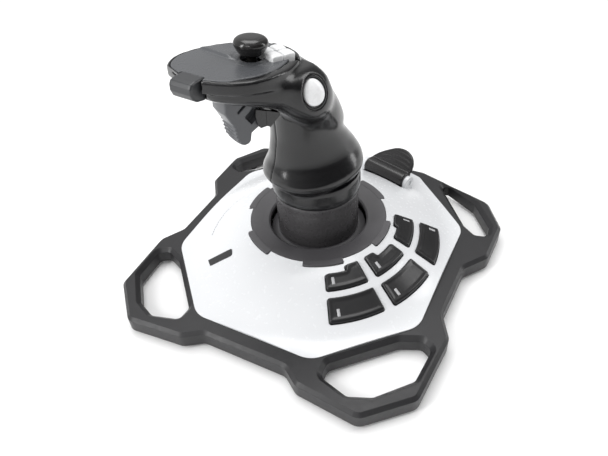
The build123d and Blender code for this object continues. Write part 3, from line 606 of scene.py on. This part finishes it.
def handle_field(x, y, z):
    across, ahead, lift = plate_coords(x, y, z)
    outline = PLATE_TABLE.at(across, ahead)
    shape = blend_intersect(outer_handle(x, y, z), lift + PLATE_SEAT, 0.8)
    # rim out to the plate outline, with the panel's recess inside it
    rim = np.maximum(rounded(outline, lift + 0.05, radius=1.25), -(lift + 6.0))
    shape = blend_union(shape, rim, 1.6)
    shape = cut(shape, np.maximum(outline + rim_width(across, ahead), -(lift + PLATE_SEAT)))
    # hollow inside
    shape = cut(shape, np.maximum(shape + SHELL_WALL, 60 - z))
    # chamber below the plate
    shape = cut(shape, intersect(
        np.abs(across) - 12.6, -19.0 - ahead, ahead - 22.5, -(lift + 14.0)))
    # trigger opening
    shape = cut(shape, intersect(np.abs(x) - 7.2, 32.4 - y, y - 57.2, 118 - z))
    # side button opening
    along, down, out = side_coords(x, y, z)
    hole = np.maximum(length(along / 7.3, down / 8.2) * 7.5 - 7.5, -(out + 9.0))
    shape = blend_intersect(shape, -hole, 0.8)
    # room for the stick's shaft and core at the foot
    shape = cut(shape, np.maximum(length(x, y) - 18.5, z - 70.0))
    # beak cap seat
    side, front = cap_coords(across, ahead)
    return cut(shape, intersect(np.abs(side) - 6.7, -0.3 - front, -(lift + 12.5)))


def build_shells():
    step = SHELL_STEP * COARSEN
    origin, (x, _, _), samples = sample(handle_field, (-29, -34, 62.6), (29, 68, 151), step)
    for name, node, side in (("handle_shell_left", "grip_left_shell", 1),
                             ("handle_shell_right", "grip_right_shell", -1)):
        ob = mesh_samples(name, np.maximum(samples, side * x + SHELL_HALF_GAP), origin, step,
                          "grip_satin", "handle", "grip_plastic", from_handle, smooth=3)
        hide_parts(node)


build_shells()

# ---------------------------------------------------------------- handle collar
# (radius, z)
COLLAR = [(17.0, 60.0), (24.4, 60.0), (24.4, 57.7), (25.9, 57.7), (26.25, 60.5), (26.0, 67.0),
          (25.5, 68.9), (24.75, 68.9), (24.75, 63.4), (17.0, 63.3)]
ob = lathe("handle_collar", COLLAR, 96, "grip_satin", "handle", "grip_plastic", from_handle)
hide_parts("grip_collar")

# ---------------------------------------------------------------- head panel
# Centres of the square thumb buttons (x, y) in the plate's frame
THUMB_MIDDLE = -3.0
THUMB_HALF_PITCH = 3.6
THUMB_RIGHT, THUMB_LEFT = THUMB_MIDDLE + THUMB_HALF_PITCH, THUMB_MIDDLE - THUMB_HALF_PITCH
THUMB_FRONT, THUMB_REAR = -8.4, -15.2
THUMB_BUTTONS = {
    "thumb_button_front_right": (THUMB_RIGHT, THUMB_FRONT),
    "thumb_button_front_left": (THUMB_LEFT, THUMB_FRONT),
    "thumb_button_rear_right": (THUMB_RIGHT, THUMB_REAR),
    "thumb_button_rear_left": (THUMB_LEFT, THUMB_REAR)}
RIDGE_START, RIDGE_END = (25.4, 14.5), (3.0, 7.8)  # from the +x edge to the hat
RIDGE_HEIGHT = 1.25


def panel_field(x, y, z):
    outline = PLATE_TABLE.at(x, y)
    # low ridge with a steep front and a long fall behind it
    run_x, run_y = RIDGE_END[0] - RIDGE_START[0], RIDGE_END[1] - RIDGE_START[1]
    run = math.hypot(run_x, run_y)
    behind = (x - RIDGE_START[0]) * (-run_y / run) + (y - RIDGE_START[1]) * (run_x / run)
    ridge = RIDGE_HEIGHT * np.where(behind > 0, unit(1 - behind / 9.5), unit(1 + behind / 1.3))
    ridge = ridge * unit((x - 0.5) / 6.0) * unit((-outline) / 4.0)
    # shallow ring dish round the hat
    radius = length(x, y)
    dish = 0.3 * unit(1 - np.abs(radius - 8.6) / 2.2) ** 2
    shape = rounded(outline + rim_width(x, y) + 0.22, z - ridge + dish, -(z + 2.5), radius=0.4)
    # openings for the hat, the beak cap and the thumb buttons
    shape = blend_intersect(shape, -(radius - 5.3), 0.5)
    side, front = cap_coords(x, y)
    shape = cut(shape, np.maximum(np.abs(side) - 6.5, -0.3 - front))
    for thumb_x, thumb_y in THUMB_BUTTONS.values():
        shape = cut(shape, np.maximum(np.abs(x - thumb_x) - 3.55, np.abs(y - thumb_y) - 3.35))
    return shape


ob = field_object("head_panel", panel_field, (-27, -24, -2.8), (27, 39, 1.4), 0.42,
                  "slate_plate", "handle", "plate_plastic", from_plate, smooth=2)
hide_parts("head_plate")

# ---------------------------------------------------------------- beak cap
# (forward, z) section
CAP = [(0.0, 0.15), (5.6, 0.1), (8.4, -0.5), (9.5, -2.4), (9.4, -5.2), (8.0, -7.9),
       (5.4, -9.6), (0.0, -10.6)]
CAP_HALF_WIDTH = 6.1


def cap_field(x, y, z):
    side, front = cap_coords(x, y)
    return rounded(polygon(front, z, CAP), np.abs(side) - CAP_HALF_WIDTH, radius=0.9)


ob = field_object("beak_cap", cap_field, (-17, 27, -11), (6, 44, 1), 0.34,
                  "beak_cap", "handle", "grip_plastic", from_plate, smooth=1)
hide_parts("front_cap")

# ---------------------------------------------------------------- trigger
# (y, z) section
TRIGGER = [
    (54.6, 126.8), (53.0, 123.4), (51.6, 119.8), (51.0, 116.6), (50.8, 113.6), (50.5, 111.4),
    (49.6, 109.4), (47.9, 107.6), (45.8, 106.9), (43.6, 107.2), (42.3, 108.3), (41.3, 112.4),
    (35.5, 114.9), (34.9, 120.0), (36.3, 124.6), (37.7, 130.6), (41.6, 137.2), (41.9, 140.2),
    (46.9, 140.2), (53.8, 133.4)]
TRIGGER_HALF_WIDTH = 6.55
GROOVE_DEPTH, GROOVE_PITCH = 0.85, 2.1
RECESS_TILT = math.atan2(4.1, -6.4)  # of the recesses in the cheeks, in the y-z plane


def recess(x, y, z, centre, half_long, half_short, inner_x, radius):
    """Tilted rectangular recess in both sides, as deep as inner_x from the middle."""
    y, z = y - centre[0], z - centre[1]
    cos, sin = math.cos(RECESS_TILT), math.sin(RECESS_TILT)
    return rounded(np.abs(y * cos + z * sin) - half_long, np.abs(-y * sin + z * cos) - half_short,
                   inner_x - np.abs(x), radius=radius)


def trigger_field(x, y, z):
    section = polygon(y, z, TRIGGER)
    # finger grooves on the front
    front = unit((y - 45.5) / 3.0) * unit((z - 107.5) / 2.0) * unit((121.5 - z) / 2.0)
    section = section + GROOVE_DEPTH * front * wave(z + 0.25 * np.abs(x), GROOVE_PITCH)
    crown = 0.014 * x * x * unit((y - 44) / 6)
    shape = rounded(section + crown, np.abs(x) - TRIGGER_HALF_WIDTH, radius=0.85)
    # square recess and a narrow slot above it
    shape = cut(shape, recess(x, y, z, (39.9, 121.3), 3.0, 3.0, inner_x=2.6, radius=0.3))
    shape = cut(shape, recess(x, y, z, (44.6, 127.4), 3.4, 0.55, inner_x=4.4, radius=0.1))
    # open below, behind the finger piece
    shape = cut(shape, rounded(np.abs(y - 38.6) - 2.2, np.abs(z - 114.6) - 1.9,
                               np.abs(x) - 5.2, radius=0.2))
    # round hole across the top
    return np.maximum(shape, 1.55 - length(y - 44.0, z - 137.0))


ob = field_object("trigger_lever", trigger_field, (-6.8, 34.4, 106), (6.8, 55.2, 140.6), 0.30,
                  "trigger_moulding", "trigger_body", "grip_plastic", from_handle)
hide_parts("trigger")

# (y, z) section of the thin cheeks on both sides of the trigger
CHEEK = [(27.4, 117.0), (28.0, 120.2), (34.0, 123.4), (38.6, 125.6), (39.4, 121.6),
         (38.6, 116.4), (37.2, 114.4), (33.9, 114.2), (31.6, 113.6)]
CHEEK_MIDDLE_X, CHEEK_HALF_WALL = 7.95, 0.82


def cheek_field(x, y, z):
    wall = np.abs(np.abs(x) - CHEEK_MIDDLE_X) - CHEEK_HALF_WALL
    return rounded(polygon(y, z, CHEEK), wall, radius=0.4)


field_object("trigger_guard_cheeks", cheek_field, (-9, 27, 113), (9, 40, 126), 0.32,
             "grip_satin", "handle", "grip_plastic", from_handle, smooth=1)


# ---------------------------------------------------------------- side button
def side_ring_field(x, y, z):
    band = np.abs((length(x / 6.65, y / 7.55) - 1) * 7.0) - 0.62
    return rounded(band, np.abs(z + 1.0) - 2.0, radius=0.35)


def side_key_field(x, y, z):
    """Domed egg, a little narrower at its upper end."""
    taper = 1.0 + 0.016 * np.clip(y, -6.6, 6.6)
    reach = length(x / (5.62 * taper), y / 6.5)
    top = z - 3.1 + 1.5 * reach ** 2.4
    return np.maximum(rounded((reach - 1) * 5.8, top, radius=0.7), -(z + 3.1))


ob = field_object("side_button_ring", side_ring_field, (-7.6, -8.5, -3.2), (7.6, 8.5, 1.3), 0.33,
                  "black_gloss", "handle", "black_gloss", from_side, smooth=1)
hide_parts("side_button_bezel")
ob = field_object("side_button_key", side_key_field, (-6, -7, -3.3), (6, 7, 3.4), 0.33,
                  "white_key", "side_button_body", "white_button", from_side, smooth=1)
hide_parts("side_button")


# ---------------------------------------------------------------- thumb buttons
def build_thumb_button(name, centre_x, centre_y):
    def field(x, y, z):
        x, y = x - centre_x, y - centre_y
        top = z - 2.55 + 0.021 * (x * x + y * y)
        key = rounded(np.abs(x) - 3.25, np.abs(y) - 3.05, top, radius=0.75)
        stem = np.maximum(length(x, y) - 1.3, np.abs(z + 3.2) - 1.3)
        return np.minimum(np.maximum(key, -(z + 2.2)), stem)

    ob = field_object(name + "_key", field, (centre_x - 3.6, centre_y - 3.4, -4.7),
                      (centre_x + 3.6, centre_y + 3.4, 2.8), 0.3,
                      "white_key", name + "_body", "white_button", from_plate, smooth=1)
    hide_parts(name)


for name, centre in THUMB_BUTTONS.items():
    build_thumb_button(name, *centre)

# ---------------------------------------------------------------- hat
# (radius, z), carried past the axis so that the section has no edge there
HAT = [(-9.0, 10.2), (1.8, 10.22), (3.8, 10.15), (5.4, 9.9), (6.8, 9.35), (7.75, 8.5), (8.2, 7.5),
       (8.15, 6.5), (7.7, 5.4), (7.05, 4.3), (6.45, 3.3), (5.9, 2.5), (5.0, 2.0), (3.6, 1.7),
       (2.7, 1.0), (2.3, 0.0), (2.12, -1.6), (2.08, -5.9), (1.8, -6.45), (-9.0, -6.45)]
# z, and how far behind the axis the skirt may reach there
SKIRT_LIMIT = [(1.0, 2.6), (2.2, 2.9), (3.0, 3.8), (4.2, 5.1), (5.6, 7.1), (6.3, 9.5)]


def hat_field(x, y, z):
    shape = polygon(length(x, y), z, HAT)
    # the skirt is cut back so that it clears the thumb buttons when the hat tilts
    removed = np.maximum(y + np.interp(z, *zip(*SKIRT_LIMIT)), z - 6.4)
    return blend_intersect(shape, -removed, 0.4)


ob = field_object("hat_mushroom", hat_field, (-8.5, -8.5, -6.6), (8.5, 8.5, 10.4), 0.26,
                  "hat_gloss", "hat", "black_gloss", from_plate, smooth=2)
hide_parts("hat_cap")

# ---------------------------------------------------------------- boot
# (radius, z)
BOOT = [(22.8, 28.2), (25.0, 28.2), (24.9, 40.0), (25.0, 52.0), (25.35, 55.8), (25.2, 57.0),
        (23.4, 57.0), (22.8, 54.8), (5.1, 54.8), (5.1, 52.6), (22.4, 52.6)]
ob = lathe("boot", BOOT, 128, "boot_satin", "stick", "charcoal_plastic")
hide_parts("boot_sleeve")

# ---------------------------------------------------------------- base buttons
# (radius, z) of the deck
DECK_PROFILE = [(36.0, 35.4), (42.0, 33.6), (50.0, 30.7), (60.0, 26.1), (70.0, 20.9),
                (76.0, 17.8), (81.0, 15.3), (86.0, 13.7), (96.0, 12.9)]
BUTTON_RISE = 1.9
# inner radius, outer radius, start and end azimuth in degrees, and the notch in the inner
# edge: its azimuth limit, its outer radius, and whether it is at the start
BASE_BUTTONS = {
    "base_button_front_inner": (46.8, 58.6, 120.5, 144.5, (134.5, 50.0, True)),
    "base_button_middle_inner": (46.6, 58.6, 150.5, 174.5, (159.0, 49.8, False)),
    "base_button_rear_inner": (47.2, 59.0, 181.0, 204.5, (192.0, 49.6, True)),
    "base_button_front_outer": (62.8, 75.0, 120.5, 145.0, None),
    "base_button_middle_outer": (63.0, 75.2, 150.0, 174.5, None),
    "base_button_rear_outer": (63.4, 75.4, 181.0, 205.0, None),
}
NOTCH_OVERRUN = 9  # past the key, in mm and in degrees
MARK_LENGTH, MARK_WIDTH, MARK_STEPS = 3.8, 1.7, 6


def deck_height(radius):
    return np.interp(radius, *zip(*DECK_PROFILE))


def sector(radius, azimuth, inner, outer, start, end):
    middle, half = math.radians((start + end) / 2), math.radians((end - start) / 2)
    turn = np.abs(np.arctan2(np.sin(azimuth - middle), np.cos(azimuth - middle)))
    side = np.where(turn < half, (turn - half) * radius,
                    np.sin(np.clip(turn - half, 0, 1.5)) * radius)
    return rounded(inner - radius, radius - outer, side, radius=0.9)


def build_base_button(name, inner, outer, start, end, notch):
    middle = math.radians((start + end) / 2)
    stem_radius = (max(inner, notch[1] if notch else inner) + outer) / 2
    stem_x, stem_y = stem_radius * math.cos(middle), stem_radius * math.sin(middle)

    def field(x, y, z):
        radius, azimuth = np.hypot(x, y), np.arctan2(y, x)
        outline = sector(radius, azimuth, inner, outer, start, end)
        if notch:
            limit, notch_outer, at_start = notch
            span = (start - NOTCH_OVERRUN, limit) if at_start else (limit, end + NOTCH_OVERRUN)
            hole = sector(radius, azimuth, inner - NOTCH_OVERRUN, notch_outer, *span)
            outline = blend_intersect(outline, -hole, 2.4)
        top = deck_height(radius) + BUTTON_RISE
        # the key dips a little inside a raised edge
        dip = 0.32 * unit((-outline - 1.1) / 1.4)
        key = rounded(outline + 0.02, (z - top) * 0.9 + dip, radius=0.75)
        key = np.maximum(key, -(z - top + 3.1))
        stem = intersect(length(x - stem_x, y - stem_y) - 2.2, 15.8 - z, z - top + 1.5)
        return np.minimum(key, stem)

    centre_radius = (inner + outer) / 2
    x, y = centre_radius * math.cos(middle), centre_radius * math.sin(middle)
    reach = 0.62 * max(outer - inner, math.radians(end - start) * outer) + 1.5
    ob = field_object(name + "_key", field, (x - reach, y - reach, 15.4),
                      (x + reach, y + reach, deck_height(inner) + 2.4), 0.42,
                      "key_charcoal", name + "_body", "button_plastic", smooth=1)
    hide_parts(name)


def build_button_mark(name, outer, start, end):
    """Radial dash near the key's end (rear keys) or start (the others)."""
    azimuth = math.radians(end - 2.6 if name.startswith("base_button_rear") else start + 4.4)
    cos, sin = math.cos(azimuth), math.sin(azimuth)
    top = []
    for i in range(MARK_STEPS + 1):
        radius = outer - 4.3 - MARK_LENGTH / 2 + MARK_LENGTH * i / MARK_STEPS
        for side in (-0.5, 0.5):
            offset = side * MARK_WIDTH
            top.append((radius * cos - offset * sin, radius * sin + offset * cos,
                        deck_height(radius) + BUTTON_RISE - 0.30))
    under = len(top)
    faces = []
    for i in range(0, 2 * MARK_STEPS, 2):
        quad = (i, i + 1, i + 3, i + 2)
        faces += [quad, tuple(under + k for k in reversed(quad)),
                  (i, i + 2, under + i + 2, under + i),
                  (i + 1, under + i + 1, under + i + 3, i + 3)]
    last = 2 * MARK_STEPS
    faces += [(0, under, under + 1, 1), (last, last + 1, under + last + 1, under + last)]
    new_object(name + "_mark", top + [(x, y, z - 0.25) for x, y, z in top], faces,
               "printed_mark", name + "_body", "white_button")


for name, (inner, outer, start, end, notch) in BASE_BUTTONS.items():
    build_base_button(name, inner, outer, start, end, notch)
    build_button_mark(name, outer, start, end)

# ---------------------------------------------------------------- throttle
# Paddle outline: (along the drum, out from its axis)
PADDLE = [(-15.6, 7.2), (-11.6, 11.6), (-7.0, 15.2), (-1.0, 18.8), (6.0, 19.8), (12.6, 17.2),
          (16.4, 11.4), (16.4, 4.0), (15.4, 0.0), (-15.4, 0.0), (-16.2, 4.0)]
PADDLE_TABLE = OutlineTable(closed_curve(PADDLE, 4), (-22, 22), (-6, 26), 0.4)
PADDLE_TILT = math.cos(math.radians(45))
RIB_HEIGHT, RIB_PITCH = 0.24, 3.1


def throttle_field(x, y, z):
    drum = rounded(length(y, z) - 5.75, np.abs(x) - 16.4, radius=1.0)
    out = y * PADDLE_TILT + z * PADDLE_TILT
    across = -y * PADDLE_TILT + z * PADDLE_TILT
    outline = PADDLE_TABLE.at(x, out)
    ribs = (RIB_HEIGHT * wave(out + 0.012 * (x - 4) ** 2 - 7.0, RIB_PITCH)
            * unit((-outline - 0.8) / 1.6) * unit(out - 6.6))
    half_thick = 1.85 - 0.02 * out
    paddle = rounded(outline, across - half_thick + 0.45 - ribs, -across - half_thick,
                     radius=0.85)
    return blend_union(drum, paddle, 1.2)


ob = field_object("throttle_paddle", throttle_field, (-16.8, -6.2, -6.2), (16.8, 16.6, 16.6),
                  0.38, "throttle_satin", "throttle", "charcoal_plastic", from_throttle, smooth=1)
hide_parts("throttle_lever")

# ---------------------------------------------------------------- printing on the deck
# (x, y) path of the dashed line
DASH_PATH = [(60.0, 33.4), (61.6, 27.4), (62.5, 21.0), (62.8, 14.6), (62.2, 8.8), (60.6, 3.2),
             (59.0, -2.4), (58.3, -9.4), (58.2, -16.0), (58.3, -23.0), (58.5, -30.8)]
BOLD_SPANS = 4


def dashes(path, per_span):
    """Dash ends: each dash fills 0.12 to 0.74 of its share of a span."""
    ends = []
    for (x0, y0), (x1, y1) in zip(path, path[1:]):
        for q in range(per_span):
            ends.append([(x0 + (x1 - x0) * t, y0 + (y1 - y0) * t)
                         for t in ((q + 0.12) / per_span, (q + 0.74) / per_span)])
    return ends


def print_strip(name, lines, width):
    """Thin raised ink dashes that follow the deck."""
    vertices, faces = [], []
    for (x0, y0), (x1, y1) in lines:
        dx, dy = x1 - x0, y1 - y0
        run = math.hypot(dx, dy)
        nx, ny = -dy / run * width / 2, dx / run * width / 2
        corners = ((x0 - nx, y0 - ny), (x1 - nx, y1 - ny), (x1 + nx, y1 + ny), (x0 + nx, y0 + ny))
        top = [(x, y, deck_height(math.hypot(x, y)) + 0.05) for x, y in corners]
        b = len(vertices)
        vertices += top + [(x, y, z - 0.2) for x, y, z in top]
        faces += [(b, b + 1, b + 2, b + 3), (b + 7, b + 6, b + 5, b + 4)]
        for i in range(4):
            j = (i + 1) % 4
            faces.append((b + i, b + 4 + i, b + 4 + j, b + j))
    new_object(name, vertices, faces, "pale_print", "base", "charcoal_plastic")


print_strip("deck_dash_line_bold", dashes(DASH_PATH[:BOLD_SPANS + 1], 3), width=0.85)
print_strip("deck_dash_line_fine", dashes(DASH_PATH[BOLD_SPANS:], 2), width=0.35)
print_strip("throttle_end_marks",
            [((1.9, -75.4), (-0.1, -74.8)), ((-2.2, -74.1), (-4.2, -73.5))], width=1.1)


# ---------------------------------------------------------------- floor
def floor_material():
    mat = bpy.data.materials.new("pale_floor")
    mat.use_nodes = True
    tree = mat.node_tree
    shader = tree.nodes["Principled BSDF"]
    noise = add_node(tree, "ShaderNodeTexNoise", {"Scale": 3})
    ramp = add_ramp(tree, noise.outputs["Fac"], 0.0, 1.0,
                    low_color=(0.93, 0.93, 0.93), high_color=(0.95, 0.95, 0.95))
    tree.links.new(ramp.outputs["Color"], shader.inputs["Base Color"])
    shader.inputs["Roughness"].default_value = 0.9
    shader.inputs["Specular IOR Level"].default_value = 0.05
    return mat


mesh = bpy.data.meshes.new("floor")
mesh.from_pydata([(-6, -6, 0), (6, -6, 0), (6, 6, 0), (-6, 6, 0)], [], [(0, 1, 2, 3)])
floor = bpy.data.objects.new("floor", mesh)
scene.collection.objects.link(floor)
mesh.materials.append(floor_material())

# ---------------------------------------------------------------- camera
VIEW_RIGHT = Vector((-0.8871625, -0.4578250, -0.0577835))
VIEW_UP = Vector((0.2658932, -0.6095054, 0.7468627))
VIEW_AHEAD = Vector((0.3771517, -0.6472242, -0.6624629))

lens = bpy.data.cameras.new("camera")
lens.sensor_fit = "HORIZONTAL"
lens.sensor_width = 36.0
lens.lens = 32.565789
lens.clip_start = 0.01
lens.clip_end = 50
camera = bpy.data.objects.new("camera", lens)
scene.collection.objects.link(camera)
pose = Matrix((VIEW_RIGHT, VIEW_UP, -VIEW_AHEAD)).transposed().to_4x4()
pose.translation = Vector((-124.1345, 231.8082, 255.3929)) * MM
camera.matrix_world = pose
scene.camera = camera

# ---------------------------------------------------------------- lights, in metres
CENTRE = Vector((0, 0.02, 0.08))
LEFT = -VIEW_RIGHT
UP = Vector((0, 0, 1))
TOWARD = Vector((-VIEW_AHEAD.x, -VIEW_AHEAD.y, 0)).normalized()  # level, to the camera


def area_light(name, location, size, size_y, power):
    light = bpy.data.lights.new(name, "AREA")
    light.shape = "RECTANGLE"
    light.size = size
    light.size_y = size_y
    light.energy = power
    ob = bpy.data.objects.new(name, light)
    scene.collection.objects.link(ob)
    ob.location = location
    ob.rotation_mode = "QUATERNION"
    ob.rotation_quaternion = (CENTRE - location).to_track_quat("-Z", "Y")


area_light("key_softbox", CENTRE + LEFT * 0.76 + UP * 0.44 + TOWARD * 0.44,
           size=0.20, size_y=0.80, power=5.6)
area_light("front_strip", CENTRE + TOWARD * 0.95 + UP * 0.80 + LEFT * 0.30,
           size=0.50, size_y=0.12, power=1.6)
area_light("top_softbox", CENTRE + UP * 1.05 - TOWARD * 0.30, size=0.8, size_y=0.8, power=7.6)
area_light("rim_strip", CENTRE - LEFT * 0.80 + UP * 0.36 - TOWARD * 0.15,
           size=0.16, size_y=0.7, power=2.0)


# ---------------------------------------------------------------- world
def build_world():
    """Soft gradient, brightest up and to the left; plain white to the camera."""
    world = bpy.data.worlds.new("studio")
    scene.world = world
    world.use_nodes = True
    tree = world.node_tree
    link = tree.links.new
    tree.nodes.clear()
    output = add_node(tree, "ShaderNodeOutputWorld")
    background = add_node(tree, "ShaderNodeBackground", {"Color": (1, 1, 1, 1)})
    link(background.outputs[0], output.inputs[0])
    direction = add_node(tree, "ShaderNodeTexCoord")
    facing = add_node(tree, "ShaderNodeVectorMath")
    facing.operation = "DOT_PRODUCT"
    link(direction.outputs["Generated"], facing.inputs[0])
    facing.inputs[1].default_value = tuple((LEFT * 0.55 + UP * 0.8 - TOWARD * 0.25).normalized())
    gradient = add_node(tree, "ShaderNodeMapRange", {
        "From Min": -0.5, "From Max": 0.95, "To Min": 0.07, "To Max": 0.78})
    gradient.interpolation_type = "SMOOTHSTEP"
    link(facing.outputs["Value"], gradient.inputs["Value"])
    rays = add_node(tree, "ShaderNodeLightPath")
    mix = add_node(tree, "ShaderNodeMix")
    mix.data_type = "FLOAT"
    link(rays.outputs["Is Camera Ray"], mix.inputs["Factor"])
    link(gradient.outputs[0], mix.inputs["A"])
    mix.inputs["B"].default_value = 1.0
    link(mix.outputs["Result"], background.inputs["Strength"])


build_world()
scene.view_settings.view_transform = "Standard"
scene.view_settings.look = "None"
scene.view_settings.exposure = 0.0
scene.view_settings.gamma = 1.0
